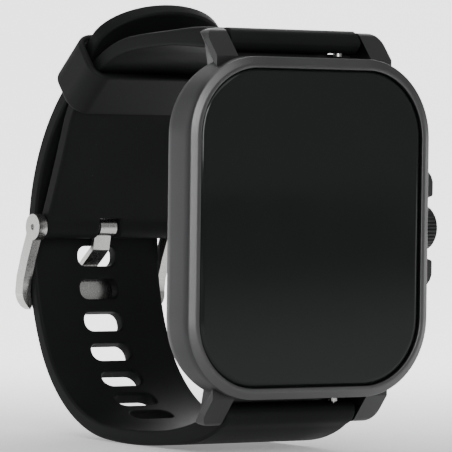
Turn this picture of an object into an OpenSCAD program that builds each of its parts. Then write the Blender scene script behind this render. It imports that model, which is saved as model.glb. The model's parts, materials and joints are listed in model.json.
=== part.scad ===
// Smartwatch with a rounded-square case, a press-and-turn crown and a two-piece buckled strap.
// It is stored fastened and standing on the underside of its strap.
// Axes: +X towards the crown, -Y out of the screen, +Z towards the 12 o'clock lugs.
// Origin: centre of the flat sensor window that rests on the wrist.

/* [Case] */
// Height of the case along Z, without the lugs
case_h = 46.4; // [42:0.2:56]
// Width of the case along X, without the crown
case_w = 39.9; // [36:0.2:48]
// Corner radius of the case seen from the front
case_r = 10.8; // [9:0.1:13]
// Depth from the rim of the bezel ring to the outer face of the back cover
case_d = 9.35; // [9:0.05:11.5]
// Radius that rounds the case wall into the back
back_round = 3.0; // [2.4:0.1:3.2]
// Thickness of the case wall around the inner space
wall_t = 3.2; // [2.8:0.1:3.6]
// Width of the bezel ring, from the case edge to its inner opening
bezel_w = 1.55; // [1.3:0.05:2.2]
// Thickness of the bezel ring
bezel_t = 0.6; // [0.4:0.05:1]
// Thickness of the cover glass
glass_t = 1.0; // [0.7:0.05:1.2]
// How far the glass lies below the front of the bezel ring
glass_drop = 0.2; // [0.05:0.05:0.4]
// Thickness of the display module
panel_t = 1.0; // [0.7:0.05:1.2]
// Thickness of the back cover plate
cover_t = 1.5; // [1.2:0.1:2]
// Height of the sensor window above the back cover
window_rise = 1.2; // [0.9:0.1:1.6]
// Radius of the sensor window
window_r = 10.4; // [9:0.1:11]

/* [Crown] */
// Radius of the crown's knob
crown_r = 3.1; // [2.6:0.05:3.2]
// Length of the crown's knob
crown_l = 2.2; // [1.8:0.1:2.6]
// Height of the crown guards above the case wall
guard_h = 1.1; // [0.7:0.1:1.4]
// How far the crown can be pressed in
press_travel = 0.5; // [0.3:0.05:0.6]
// Radius of the crown's journal in the case wall
journal_r = 1.45; // [1.2:0.05:1.6]

/* [Strap] */
// Width of the strap
strap_w = 21.6; // [19.6:0.1:23.6]
// Thickness of the strap along most of its length
strap_t = 2.1; // [1.7:0.1:2.2]
// Thickness of the strap where it leaves the lugs
root_t = 2.9; // [2.4:0.1:3]
// Outer radius of the strap around each spring bar
barrel_r = 1.7; // [1.6:0.05:1.8]
// Length of a pin hole across the strap
hole_w = 6.5; // [5:0.1:7]
// Length of a pin hole along the strap
hole_l = 3; // [2.9:0.1:3.3]
// Distance from one pin hole to the next
hole_pitch = 5; // [4.4:0.1:5.4]
// Number of pin holes below the buckle's own
holes_below = 6; // [4:1:6]
// Number of pin holes above the buckle's own
holes_above = 3; // [0:1:5]
// Width of the keeper along the strap
keeper_l = 8; // [5:0.5:8]
// Thickness of the keeper's walls
keeper_t = 1.1; // [0.8:0.1:1.4]

/* [Buckle] */
// Thickness of the buckle's side arms across the strap
arm_t = 1.4; // [1:0.1:2]
// Width of the buckle's tongue
tongue_w = 2.8; // [2.4:0.1:3.6]
// Thickness of the buckle's tongue
tongue_t = 0.8; // [0.6:0.05:0.9]

/* [Spring bars] */
// Outer radius of a lug spring bar's tube
bar_r = 0.85; // [0.75:0.05:0.9]
// Radius of the tips that enter the lugs
tip_r = 0.45; // [0.4:0.05:0.5]
// Depth of the blind hole in each lug
lug_hole_d = 1.1; // [0.9:0.1:1.3]
// How far a release lever travels along its bar
release_travel = 1.2; // [1.1:0.1:1.4]

/* [Fits] */
// Radial clearance of a part that turns or slides in a bore
run_gap = 0.05; // [0.02:0.01:0.1]
// Clearance between the strap and what it passes
strap_gap = 0.2; // [0.15:0.05:0.4]
// Clearance of an inner part in its pocket
seat_gap = 0.1; // [0.05:0.05:0.3]

/* [Hidden] */
$fn = 48;

// Stations along Y, from the wrist towards the screen.
cover_y = -window_rise;
rear_y = cover_y - cover_t;
bezel_y = cover_y - case_d;
front_y = bezel_y + bezel_t;
glass_y = bezel_y + glass_drop;
glass_back_y = glass_y + glass_t;
ledge_y = glass_back_y + 0.15;
panel_back_y = glass_back_y + panel_t;
lip_y = rear_y - 1.5;
crown_y = (front_y + rear_y) / 2 - 0.17;

// Lug and spring-bar places.
lug_gap = strap_w + 0.6;
lug_r = 1.45;
lug_corner = 1.7;
pivot_y = rear_y - 1.7;
pivot_z = case_h / 2 + barrel_r + 0.6;
top_pivot = [pivot_y, pivot_z];
bottom_pivot = [pivot_y, -pivot_z];
tip_reach = lug_gap / 2 + lug_hole_d - 0.2;
tube_l = lug_gap - 3;
lever_x = 8.2;
lever_r = 0.35;
lever_head_r = 0.7;

// Routes of the strap in the YZ plane: each run is [length, turn in degrees].
buckle_route_heading = 5.5;
buckle_route = [[14, -7.5], [9.2, -3.2], [18.3, -47.8], [3.4, -16.3], [16, 4.2]];
flex_s = buckle_route[0][0];
tail_heading = 92.5;
tail_route = [[21, 43], [17.8, -4.2]];
tip_depth = 6.5;
rear_heading = -87.5;
rear_route = [[17.2, -27.6], [21.7, -59.4], [9.7, -8]];
root_heading = 140;
close_reach = [7.5, 5];
flex_gap = 0.12;
route_step = 1.25;

// Keeper place along the buckle side's constant bend.
keeper_s = 36.8;
keeper_sag = 0.6;
keeper_slack = 1.1;

// Lengths of the routes.
buckle_len = sum_lengths(buckle_route);
tail_len = sum_lengths(tail_route);
rear_len = sum_lengths(rear_route);

// The buckle's bar sits at the end of the buckle side; the hole side passes just outside it.
buckle_axis = along([top_pivot.x, top_pivot.y, buckle_route_heading], buckle_route, buckle_len);
bar_axis = [buckle_axis.x, buckle_axis.y];
cross_y = bar_axis.x + barrel_r + strap_gap + strap_t / 2;
buckle_bar_r = 0.75;
buckle_tip_r = 0.4;
buckle_in = strap_w / 2 + strap_gap;
buckle_out = buckle_in + arm_t;
knuckle_r = 1.9;
// Middle line of a side arm, the far plate and the tongue, measured from the buckle's bar.
arm_line = [[0.6, -1], [2.2, -4.5], [3.3, -7.5], [3.6, -9.5], [3.3, -11.4]];
arm_half = 1;
far_line = [[4.2, -8.2], [3.9, -11.3]];
far_half = 0.5;
tongue_line = [[0.8, -1.2], [1.2, -3.15], [4.3, -5.6], [5.1, -7.3], [5.27, -8.9], [5.05, -12.6]];
first_hole = 4.4;

function sum_lengths(runs, i = 0) = i == len(runs) ? 0 : runs[i][0] + sum_lengths(runs, i + 1);

// End of one arc of a route, from [y, z, heading].
function arc_end(from, length, turn) =
  let (half = turn / 2, chord = abs(turn) < 0.01 ? length : length * sin(half) / (half * PI / 180))
  [from.x + chord * cos(from.z + half), from.y + chord * sin(from.z + half), from.z + turn];

// Place at a distance along a route.
function along(from, runs, s, i = 0) =
  let (run = runs[i])
  s <= run[0] || i == len(runs) - 1
    ? arc_end(from, s, run[1] * s / run[0])
    : along(arc_end(from, run[0], run[1]), runs, s - run[0], i + 1);

function buckle_place(s) =
  along([top_pivot.x, top_pivot.y, buckle_route_heading], buckle_route, s);
function tail_place(s) = along([cross_y, bar_axis.y, tail_heading], tail_route, s);
function rear_place(s) = along([cross_y, bar_axis.y, rear_heading], rear_route, s);

// Closing stretch of the hole side, a cubic curve from the rear route's end to the bottom pivot.
close_from = rear_place(rear_len);
close_a = [close_from.x, close_from.y];
close_b = close_a + close_reach[0] * [cos(close_from.z), sin(close_from.z)];
close_c = bottom_pivot - close_reach[1] * [cos(root_heading), sin(root_heading)];
function close_place(u) =
  let (
    v = 1 - u,
    p = v * v * v * close_a + 3 * v * v * u * close_b + 3 * v * u * u * close_c + u * u * u * bottom_pivot,
    d = v * v * (close_b - close_a) + 2 * v * u * (close_c - close_b) + u * u * (bottom_pivot - close_c)
  )
  [p.x, p.y, atan2(d.y, d.x)];
close_flex_u = 0.4;
close_steps = 20;

// Half of the strap's thickness at a distance from its lug.
function half_t(s) = (strap_t + (root_t - strap_t) * min(1, max(0, (15 - s) / 10))) / 2;

// Points on one side of a route, side 1 to the left of its heading and -1 to the right.
function side_point(place, side, half) =
  [place.x - side * half * sin(place.z), place.y + side * half * cos(place.z)];

// Points of a circle seen from outside that a straight line through p touches.
function touch(p, centre, r, side) =
  let (d = p - centre, reach = norm(d), a = atan2(d.y, d.x) + side * acos(r / reach))
  centre + r * [cos(a), sin(a)];

// Extrudes a drawing of the YZ plane along X.
module across_x(x0, x1) {
  translate([x0, 0, 0])
    rotate([90, 0, 90])
      linear_extrude(x1 - x0) children();
}

// Extrudes a drawing of the XZ plane along Y.
module across_y(y0, y1) {
  translate([0, y1, 0])
    rotate([90, 0, 0])
      linear_extrude(y1 - y0) children();
}

// Turned part about the X axis through a point of the YZ plane, drawn as [along X, radius].
module turned_x(p) {
  translate([0, p.x, p.y])
    rotate([0, 90, 0])
      rotate_extrude()
        rotate(90)
          mirror([0, 1])
            children();
}

// Round bar along X.
module rod_x(p, x0, x1, r) {
  translate([x0, p.x, p.y])
    rotate([0, 90, 0])
      cylinder(h = x1 - x0, r = r);
}

// Round bar along Y.
module rod_y(p, y0, y1, r) {
  translate([p.x, y1, p.y])
    rotate([90, 0, 0])
      cylinder(h = y1 - y0, r = r);
}

// Block between two opposite corners.
module block(low, high) {
  translate(low) cube(high - low);
}

// Rounded rectangle centred on the origin.
module round_rect(w, h, r) {
  square([w - 2 * r, h], center = true);
  square([w, h - 2 * r], center = true);
  for (x = [-1, 1], y = [-1, 1])
    translate([x * (w / 2 - r), y * (h / 2 - r)]) circle(r);
}

// Case outline, drawn in by an inset all round.
module case_outline(inset) {
  round_rect(case_w - 2 * inset, case_h - 2 * inset, case_r - inset);
}

// Case plate whose edge follows a profile of [inset, y] points, from front to back.
module edged_plate(profile) {
  cx = case_w / 2 - case_r;
  cz = case_h / 2 - case_r;
  first_y = profile[0].y;
  last_y = profile[len(profile) - 1].y;
  for (sx = [0, 1], sz = [0, 1])
    mirror([sx, 0, 0])
      mirror([0, 0, sz])
        translate([cx, 0, -cz])
          rotate([-90, 0, 0])
            rotate_extrude(angle = 90)
              polygon(concat([[0, first_y]], [for (p = profile) [case_r - p.x, p.y]], [[0, last_y]]));
  across_x(-cx, cx)
    polygon(concat(
      [for (p = profile) [p.y, case_h / 2 - p.x]],
      [for (i = [len(profile) - 1:-1:0]) [profile[i].y, profile[i].x - case_h / 2]]
    ));
  for (side = [0, 1])
    mirror([side, 0, 0])
      translate([0, 0, -cz])
        linear_extrude(2 * cz)
          polygon(concat([[cx, first_y]], [for (p = profile) [case_w / 2 - p.x, p.y]], [[cx, last_y]]));
}

// Strip with rounded joints along a line of points.
module stroke(points, r) {
  for (i = [0:len(points) - 1]) translate(points[i]) circle(r);
  for (i = [0:len(points) - 2]) {
    d = points[i + 1] - points[i];
    translate(points[i])
      rotate(atan2(d.y, d.x))
        translate([0, -r]) square([norm(d), 2 * r]);
  }
}

// Strap outline through places along a route, with a half thickness for each and a round last end.
module band(places, halves, round_end = false) {
  last = len(places) - 1;
  end = places[last];
  cap = round_end ? [for (a = [75:-15:-75]) [end.x, end.y] + halves[last] * [cos(end.z + a), sin(end.z + a)]] : [];
  polygon(concat(
    [for (i = [0:last]) side_point(places[i], 1, halves[i])],
    cap,
    [for (i = [last:-1:0]) side_point(places[i], -1, halves[i])]
  ));
}

// Repeats its children in the four corners of the case.
module in_corners(x, z) {
  for (sx = [-1, 1], sz = [-1, 1]) translate([sx * x, 0, sz * z]) children();
}

screw_x = case_w / 2 - case_r + 3.05;
screw_z = case_h / 2 - case_r + 3.2;
screw_r = 0.7;
screw_l = 3.4;
screw_head_r = 1.3;
screw_head_t = 0.5;
boss_r = 1.9;
crown_at = [crown_y, 0];
pocket_r = crown_r + 0.2;
pocket_x = case_w / 2 - press_travel - 0.15;
guard_from = pocket_r + 0.75;
cavity_x = case_w / 2 - wall_t;
guide_w = 2;

// One lug, at the upper corner on the crown side.
module lug() {
  base_front = [front_y + 1.7, case_h / 2];
  base_back = [rear_y, case_h / 2 - 1.6];
  front_touch = touch(base_front, top_pivot, lug_r, -1);
  slope = atan2(front_touch.x - base_front.x, front_touch.y - base_front.y);
  back_touch = touch(base_back, top_pivot, lug_r, 1);
  lug_in = lug_gap / 2;
  lug_out = lug_in + 3.5;
  root_z = case_h / 2 - 3.5;
  tip_z = pivot_z + lug_r;
  intersection() {
    across_x(lug_in, lug_out)
      union() {
        polygon([
          [base_front.x, root_z], base_front, front_touch, top_pivot,
          back_touch, base_back, [base_back.x - 0.6, root_z]
        ]);
        translate(top_pivot) circle(lug_r);
      }
    across_y(front_y, 0)
      polygon(concat(
        [[lug_in, root_z], [lug_out, root_z]],
        [for (a = [0:15:90]) [lug_out - lug_corner * (1 - cos(a)), tip_z - lug_corner * (1 - sin(a))]],
        [[lug_in, tip_z]]
      ));
    translate([0, base_front.x, base_front.y])
      rotate([-slope, 0, 0])
        linear_extrude(16, center = true)
          polygon([[0, -4], [lug_out, -4], [lug_out, 1], [lug_out - 1.6, 3], [lug_out - 3.4, 9], [0, 9]]);
  }
}

// Rib behind the upper spring bar that closes the gap to the strap, as high as the barrel's near side and past it by rise.
module bar_rib(rise) {
  reach = lug_gap / 2 + 0.5;
  block([-reach, rear_y - 0.5, case_h / 2 - back_round - 0.5], [reach, rear_y, pivot_z - barrel_r + rise]);
}

// Shoulder that shields the crown on the 12 o'clock side.
module crown_guard() {
  wall = case_w / 2;
  tip = wall + guard_h;
  across_y(front_y + 0.35, rear_y - 1.2)
    polygon([
      [wall - 1.2, guard_from], [wall - 0.2, guard_from], [tip - 0.15, guard_from + 0.4],
      [tip, guard_from + 0.6], [tip, guard_from + 2.4], [tip - 0.3, guard_from + 3.2],
      [wall - 0.3, guard_from + 4.5], [wall - 1.2, guard_from + 4.5]
    ]);
}

module midframe() {
  color("#3a3a3a")
    difference() {
      union() {
        difference() {
          edged_plate(concat(
            [[0.3, front_y], [0.08, front_y + 0.6], [0, front_y + 1.4]],
            [for (a = [0:15:90]) [back_round * (1 - cos(a)), rear_y - back_round * (1 - sin(a))]]
          ));
          across_y(front_y - 1, ledge_y) case_outline(bezel_w);
          across_y(ledge_y - 1, lip_y) case_outline(wall_t);
          across_y(lip_y - 1, rear_y + 1) case_outline(wall_t + 1.4);
        }
        for (sx = [0, 1], sz = [0, 1]) mirror([sx, 0, 0]) mirror([0, 0, sz]) lug();
        bar_rib(0.12);
        mirror([0, 0, 1]) bar_rib(0.35);
        crown_guard();
        mirror([0, 0, 1]) crown_guard();
        in_corners(screw_x, screw_z) rod_y([0, 0], rear_y - screw_l, rear_y, boss_r);
        for (side = [-1, 1])
          block(
            [cavity_x - 3.2, crown_y - 1.1, side > 0 ? guide_w + 0.15 : -guide_w - 1.1],
            [cavity_x + 0.5, crown_y + 1.1, side > 0 ? guide_w + 1.1 : -guide_w - 0.15]
          );
      }
      in_corners(screw_x, screw_z) rod_y([0, 0], rear_y - screw_l - 1, rear_y + 1, screw_r + 0.02);
      across_y(rear_y - 0.25, rear_y + 1) gasket_outline(0);
      rod_x(crown_at, pocket_x, case_w, pocket_r);
      block([case_w / 2 - 0.2, front_y + 0.35, -guard_from], [case_w, rear_y - 1.2, guard_from]);
      rod_x(crown_at, cavity_x - 1, case_w / 2, journal_r + run_gap);
      for (p = [top_pivot, bottom_pivot])
        rod_x(p, -lug_gap / 2 - lug_hole_d, lug_gap / 2 + lug_hole_d, tip_r + run_gap);
    }
}

module bezel_ring() {
  color("#4a4a4a")
    difference() {
      edged_plate([[1, bezel_y], [0, bezel_y + 0.52], [0, front_y - 0.04], [0.04, front_y]]);
      across_y(bezel_y - 1, front_y + 1) case_outline(bezel_w);
    }
}

module cover_glass() {
  color("#101212")
    edged_plate([
      [bezel_w + seat_gap + 0.55, glass_y], [bezel_w + seat_gap + 0.2, glass_y + 0.1],
      [bezel_w + seat_gap, glass_y + 0.35], [bezel_w + seat_gap, glass_back_y]
    ]);
}

module display_gasket() {
  color("#202020")
    across_y(glass_back_y, ledge_y)
      difference() {
        case_outline(bezel_w + seat_gap);
        case_outline(wall_t + seat_gap);
      }
}

module display_panel() {
  color("#181c20")
    across_y(glass_back_y, panel_back_y) case_outline(wall_t + 2 * seat_gap);
}

board_y = crown_y + 0.3;
board_t = 0.8;
board_top = case_h / 2 - wall_t - 2.5;
board_left = -(case_w / 2 - wall_t - 2.7);
// Chips on the main board: distance from its left edge, place along Z, side length.
chips = [[2, 6, 7], [11, 7, 5], [18, 5, 4]];

module display_flex() {
  ribbon_z = board_top + 0.4;
  color("#b87820") {
    block([-4, panel_back_y, ribbon_z - 0.2], [4, board_y - 0.2, ribbon_z]);
    block([-4, board_y - 0.4, board_top - 2.5], [4, board_y - 0.2, ribbon_z]);
    block([-3.2, board_y - 0.2, board_top - 2.3], [3.2, board_y, board_top - 1]);
  }
}

module main_board() {
  color("#1f5c3a") {
    difference() {
      block([board_left, board_y, 3.5], [cavity_x - 5.2, board_y + board_t, board_top]);
      for (side = [0, 1])
        mirror([side, 0, 0]) {
          rod_y([screw_x, screw_z], board_y - 1, board_y + 2, boss_r + 0.3);
          block([screw_x, board_y - 1, screw_z - boss_r - 0.3], [case_w, board_y + 2, case_h]);
        }
    }
    block([cavity_x - 7, board_y, -1.8], [cavity_x - 3.6, board_y + board_t, 3.6]);
    for (chip = chips)
      block(
        [board_left + chip[0], board_y + board_t - 0.05, chip[1]],
        [board_left + chip[0] + chip[2], board_y + board_t + 0.9, chip[1] + chip[2]]
      );
  }
}

module battery() {
  color("#8a8f96")
    block(
      [board_left, panel_back_y + 0.4, -(screw_z - boss_r - 0.5)],
      [cavity_x - 10.5, rear_y - 1.3, 3]
    );
}

module vibration_motor() {
  color("#b8bcc0")
    rod_y([cavity_x - 5.6, -board_top / 2], crown_y - 0.2, crown_y + 2.4, 4);
}

module gasket_outline(gap) {
  difference() {
    case_outline(back_round + 0.4 + gap);
    case_outline(wall_t + 1 - gap);
  }
}

module back_gasket() {
  color("#303030")
    across_y(rear_y - 0.25, rear_y) gasket_outline(0.05);
}

module back_cover() {
  spigot = wall_t + 1.6;
  color("#161616")
    difference() {
      union() {
        edged_plate([
          [back_round + 0.1, rear_y], [back_round + 0.25, rear_y + 0.5],
          [back_round + 0.7, cover_y - 0.35], [back_round + 1.6, cover_y]
        ]);
        across_y(rear_y - 1.2, rear_y)
          difference() {
            case_outline(spigot);
            case_outline(spigot + 1.2);
          }
        translate([0, cover_y, 0])
          rotate([-90, 0, 0])
            cylinder(h = 0.7, r1 = window_r + 2.4, r2 = window_r + 1);
      }
      in_corners(screw_x, screw_z) {
        rod_y([0, 0], rear_y - 2, rear_y, boss_r + 0.2);
        rod_y([0, 0], rear_y - 1, cover_y + 1, screw_r + 0.1);
        rod_y([0, 0], cover_y - screw_head_t - 0.3, cover_y + 1, screw_head_r + 0.15);
      }
      rod_y([0, 0], cover_y - 0.1, 1, window_r + 0.05);
      rod_y([0, 0], rear_y - 1, 0, window_r - 2.4);
      for (side = [-1, 1]) rod_y([side * contact_x, contact_z], rear_y - 1, 0, contact_r + 0.02);
    }
}

contact_x = 1.6;
contact_z = -(case_h / 2 - 6.6);
contact_r = 0.9;

module charging_contacts() {
  color("#d8b45a")
    for (side = [-1, 1]) rod_y([side * contact_x, contact_z], rear_y - 0.3, cover_y + 0.1, contact_r);
}

module case_screws() {
  head_y = cover_y - 0.3;
  color("#c8c8c8")
    in_corners(screw_x, screw_z)
      difference() {
        union() {
          rod_y([0, 0], rear_y - screw_l + 0.4, head_y, screw_r);
          rod_y([0, 0], head_y - screw_head_t, head_y, screw_head_r);
        }
        for (a = [0, 90])
          rotate([0, a, 0])
            block([-0.8, head_y - 0.3, -0.18], [0.8, head_y + 1, 0.18]);
      }
}

module sensor_window() {
  color("#0c0c0e")
    translate([0, cover_y - 0.1, 0])
      rotate([-90, 0, 0]) {
        cylinder(h = window_rise - 0.3, r = window_r);
        translate([0, 0, window_rise - 0.3])
          cylinder(h = 0.4, r1 = window_r, r2 = window_r - 0.8);
      }
}

module sensor_board() {
  board_r = window_r - 2.8;
  top = cover_y - 0.8;
  color("#1a4d66") {
    rod_y([0, 0], top - 0.6, top, board_r);
    rod_y([0, 0], top, top + 0.6, 1.4);
    for (a = [0:90:270])
      rod_y([4.6 * cos(a), 4.6 * sin(a)], top, top + 0.6, 0.9);
  }
}

module side_switch() {
  seat_x = cavity_x - 5;
  color("#d0d0d0") {
    block([seat_x, board_y - 1.4, -1.6], [seat_x + 1.4, board_y, 1.6]);
    rod_x([board_y - 0.75, 0], seat_x + 1.3, seat_x + 1.6, 0.6);
  }
}

knob_x = case_w / 2 + 0.05;
stem_in_x = cavity_x - 1.85;
clip_x = cavity_x - 0.55;
seal_x = cavity_x + 1.35;
seal_groove_r = journal_r - 0.4;

module crown_knob() {
  teeth = 36;
  tip = knob_x + crown_l;
  color("#2c2c2c")
    difference() {
      turned_x(crown_at)
        polygon([
          [knob_x, 0], [knob_x, crown_r - 0.25], [knob_x + 0.25, crown_r], [tip - 0.35, crown_r],
          [tip, crown_r - 0.35], [tip, crown_r - 0.8], [tip - 0.12, crown_r - 1], [tip - 0.12, 0]
        ]);
      for (i = [0:teeth - 1])
        translate([0, crown_y, 0])
          rotate([i * 360 / teeth, 0, 0])
            translate([knob_x + 0.3, crown_r, 0])
              rotate([45, 0, 0])
                cube([crown_l - 0.75, 0.22, 0.22], center = false);
      rod_x(crown_at, knob_x - 1, knob_x + 1.2, 0.8);
    }
}

module crown_stem() {
  color("#a8a8a8")
    turned_x(crown_at)
      polygon([
        [stem_in_x, 0], [stem_in_x, 0.8], [clip_x, 0.8], [clip_x, 0.6], [clip_x + 0.3, 0.6],
        [clip_x + 0.3, journal_r], [seal_x - 0.25, journal_r], [seal_x - 0.25, seal_groove_r],
        [seal_x + 0.25, seal_groove_r], [seal_x + 0.25, journal_r], [knob_x, journal_r],
        [knob_x, 0.8], [knob_x + 1.2, 0.8], [knob_x + 1.2, 0]
      ]);
}

module crown_seal() {
  color("#181818")
    turned_x(crown_at)
      translate([seal_x, (seal_groove_r + journal_r) / 2]) circle(0.18, $fn = 24);
}

module crown_clip() {
  color("#c0c0c0")
    turned_x(crown_at)
      translate([clip_x + 0.02, 0.6]) square([0.26, 1.1]);
}

module crown_plunger() {
  back_x = cavity_x - 2.85;
  color("#dcdcdc")
    difference() {
      block([back_x, crown_y - 1.05, -guide_w], [back_x + 1.5, crown_y + 1.05, guide_w]);
      rod_x(crown_at, stem_in_x - 0.05, back_x + 2, 0.8 + run_gap);
    }
}

// Tube of a lug spring bar, slotted towards the case for its release lever.
module lug_bar_tube(p, toward) {
  color("#b4b4b4")
    difference() {
      rod_x(p, -tube_l / 2, tube_l / 2, bar_r);
      rod_x(p, -tube_l / 2 - 1, tube_l / 2 + 1, tip_r + run_gap);
      lever_slot(p, toward, 0.1, bar_r + 0.5);
    }
}

// Space that a release lever travels in.
module lever_slot(p, toward, gap, reach) {
  low = p.y + (toward < 0 ? -reach : 0);
  block(
    [lever_x - release_travel - lever_r - gap, p.x - lever_r - gap, low],
    [lever_x + lever_r + gap, p.x + lever_r + gap, low + reach]
  );
}

// Fixed tip of a lug spring bar.
module lug_bar_tip(p) {
  color("#c8c8c8")
    union() {
      rod_x(p, -tip_reach, -tube_l / 2 + 1.5, tip_r);
      rod_x(p, -tube_l / 2 - 0.3, -tube_l / 2, bar_r - 0.1);
    }
}

// Sliding tip of a lug spring bar with its lever.
module lug_bar_release(p, toward) {
  color("#dadada")
    union() {
      rod_x(p, lever_x - 2.6, tip_reach, tip_r);
      translate([lever_x, p.x, p.y])
        rotate([toward < 0 ? 180 : 0, 0, 0]) {
          cylinder(h = barrel_r, r = lever_r);
          translate([0, 0, barrel_r - 0.25]) cylinder(h = 0.45, r = lever_head_r);
        }
    }
}

module top_bar_tube() { lug_bar_tube(top_pivot, -1); }
module top_bar_tip() { lug_bar_tip(top_pivot); }
module top_bar_release() { lug_bar_release(top_pivot, -1); }
module bottom_bar_tube() { lug_bar_tube(bottom_pivot, 1); }
module bottom_bar_tip() { lug_bar_tip(bottom_pivot); }
module bottom_bar_release() { lug_bar_release(bottom_pivot, 1); }

// Room in a strap's barrel for the lever's head.
module lever_notch(p, toward) {
  block(
    [lever_x - release_travel - lever_head_r - 0.2, p.x - lever_head_r - 0.2, p.y + (toward < 0 ? -3 : 1.1)],
    [lever_x + lever_head_r + 0.2, p.x + lever_head_r + 0.2, p.y + (toward < 0 ? -1.1 : 3)]
  );
}

// Strap end around a lug spring bar, joined to its section of strap.
module strap_root(p, toward, places, halves) {
  difference() {
    union() {
      rod_x(p, -strap_w / 2, strap_w / 2, barrel_r);
      across_x(-strap_w / 2, strap_w / 2) band(places, halves, round_end = true);
    }
    rod_x(p, -strap_w, strap_w, bar_r + run_gap);
    lever_slot(p, toward, 0.15, 3);
    lever_notch(p, toward);
  }
}

function strap_end_half(halves) = halves[len(halves) - 1];

top_steps = [for (s = [0:route_step:flex_s - 0.5]) s];
top_places = concat([for (s = top_steps) buckle_place(s)], [buckle_place(flex_s)]);
top_halves = concat([for (s = top_steps) half_t(s)], [half_t(flex_s)]);

module strap_top_end() {
  color("#1c1d1d")
    strap_root(top_pivot, -1, top_places, top_halves);
}

bottom_places = [
  for (i = [close_steps:-1:0]) turned(close_place(close_flex_u + (1 - close_flex_u) * i / close_steps))
];
bottom_halves = [for (q = bottom_places) half_t(norm([q.x, q.y] - bottom_pivot))];

module strap_bottom_end() {
  color("#1c1d1d")
    strap_root(bottom_pivot, 1, bottom_places, bottom_halves);
}

buckle_steps = [for (s = [flex_s:route_step:buckle_len]) s];
buckle_places = concat([for (s = buckle_steps) buckle_place(s)], [buckle_axis]);
buckle_halves = concat([for (s = buckle_steps) half_t(s)], [strap_t / 2]);

module strap_buckle_side() {
  slot_w = tongue_w + 0.6;
  color("#1c1d1d")
    difference() {
      union() {
        across_x(-strap_w / 2, strap_w / 2) band(buckle_places, buckle_halves);
        rod_x(bar_axis, -strap_w / 2, strap_w / 2, barrel_r);
      }
      rod_x([buckle_places[0].x, buckle_places[0].y], -strap_w, strap_w, buckle_halves[0] + flex_gap);
      rod_x(bar_axis, -strap_w, strap_w, buckle_bar_r + run_gap);
      across_x(-slot_w / 2, slot_w / 2)
        translate(bar_axis)
          rotate(buckle_axis.z)
            translate([-barrel_r, -3]) square([6, 6]);
    }
}

// Hole side, listed from its free tip down and round to the flex point near the bottom lugs.
tail_steps = [for (s = [tail_len:-route_step:0.4]) s];
rear_steps = [for (s = [0:route_step:rear_len]) s];
close_steps_rear = [for (i = [1:8]) close_flex_u * i / 8];
hole_places = concat(
  [for (s = tail_steps) turned(tail_place(s))],
  [for (s = rear_steps) rear_place(s)],
  [for (u = close_steps_rear) close_place(u)]
);
function turned(q) = [q.x, q.y, q.z + 180];
hole_halves = [
  for (i = [0:len(hole_places) - 1])
    i < len(tail_steps) + len(rear_steps)
      ? strap_t / 2
      : half_t(norm([hole_places[i].x, hole_places[i].y] - bottom_pivot))
];

// Pin-hole cutter at a place on the strap.
module pin_hole(place) {
  translate([0, place.x, place.y])
    rotate([place.z, 0, 0])
      translate([0, 0, -strap_t])
        linear_extrude(2 * strap_t)
          round_rect(hole_w, hole_l, 1.3);
}

// Cutter that rounds the strap's free tip in plan.
module tip_cutter() {
  r = strap_w / 2;
  from = tail_place(tail_len - tip_depth);
  tail_end = tail_place(tail_len);
  chord = [tail_end.x, tail_end.y] - [from.x, from.y];
  reach = norm(chord);
  translate([0, from.x, from.y])
    rotate([atan2(chord.y, chord.x) - 90, 0, 0])
      rotate([90, 0, 0])
        linear_extrude(12, center = true)
          polygon(concat(
            [[-r - 1, 0]],
            [for (a = [-90:7.5:90]) [r * sin(a), reach * cos(a)]],
            [[r + 1, 0], [r + 1, 2 * r], [-r - 1, 2 * r]]
          ));
}

module strap_hole_side() {
  flex = hole_places[len(hole_places) - 1];
  color("#1c1d1d")
    difference() {
      across_x(-strap_w / 2, strap_w / 2) band(hole_places, hole_halves);
      rod_x([flex.x, flex.y], -strap_w, strap_w, strap_end_half(hole_halves) + flex_gap);
      for (i = [0:holes_below]) pin_hole(rear_place(first_hole + i * hole_pitch));
      for (i = [1:holes_above]) pin_hole(turned(tail_place(i * hole_pitch - first_hole)));
      tip_cutter();
    }
}

keeper_place = buckle_place(keeper_s);
keeper_in = [-(strap_t / 2 + strap_gap + keeper_sag), strap_t / 2 + strap_gap + strap_t + keeper_slack];
keeper_half_w = strap_w / 2 + 2 * strap_gap;

module keeper() {
  depth = keeper_in[1] - keeper_in[0];
  middle = (keeper_in[1] + keeper_in[0]) / 2;
  color("#232424")
    translate([0, keeper_place.x, keeper_place.y])
      rotate([keeper_place.z, 0, 0])
        translate([0, 0, middle])
          rotate([90, 0, 0])
            linear_extrude(keeper_l, center = true)
              difference() {
                round_rect(2 * (keeper_half_w + keeper_t), depth + 2 * keeper_t, 2.2);
                round_rect(2 * keeper_half_w, depth, 1.2);
              }
}

// Cutter that rounds the outer corner between a side arm and the far plate.
module buckle_corner(r) {
  across_y(bar_axis.x - 3, bar_axis.x + 8)
    translate([buckle_out - r, bar_axis.y + arm_line[len(arm_line) - 1].y - arm_half + r])
      polygon(concat([for (a = [0:-15:-90]) [r * cos(a), r * sin(a)]], [[0, -r - 1], [r + 1, -r - 1], [r + 1, 0]]));
}

module buckle_frame() {
  color("#b9b9b6")
    difference() {
      union() {
        for (side = [0, 1])
          mirror([side, 0, 0])
            across_x(buckle_in, buckle_out)
              translate(bar_axis) {
                circle(knuckle_r);
                stroke(arm_line, arm_half);
              }
        across_x(-buckle_in - 0.5, buckle_in + 0.5) translate(bar_axis) stroke(far_line, far_half);
      }
      for (side = [0, 1]) mirror([side, 0, 0]) buckle_corner(2.6);
      rod_x(bar_axis, -buckle_out - 1, buckle_out + 1, buckle_tip_r + run_gap);
    }
}

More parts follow.
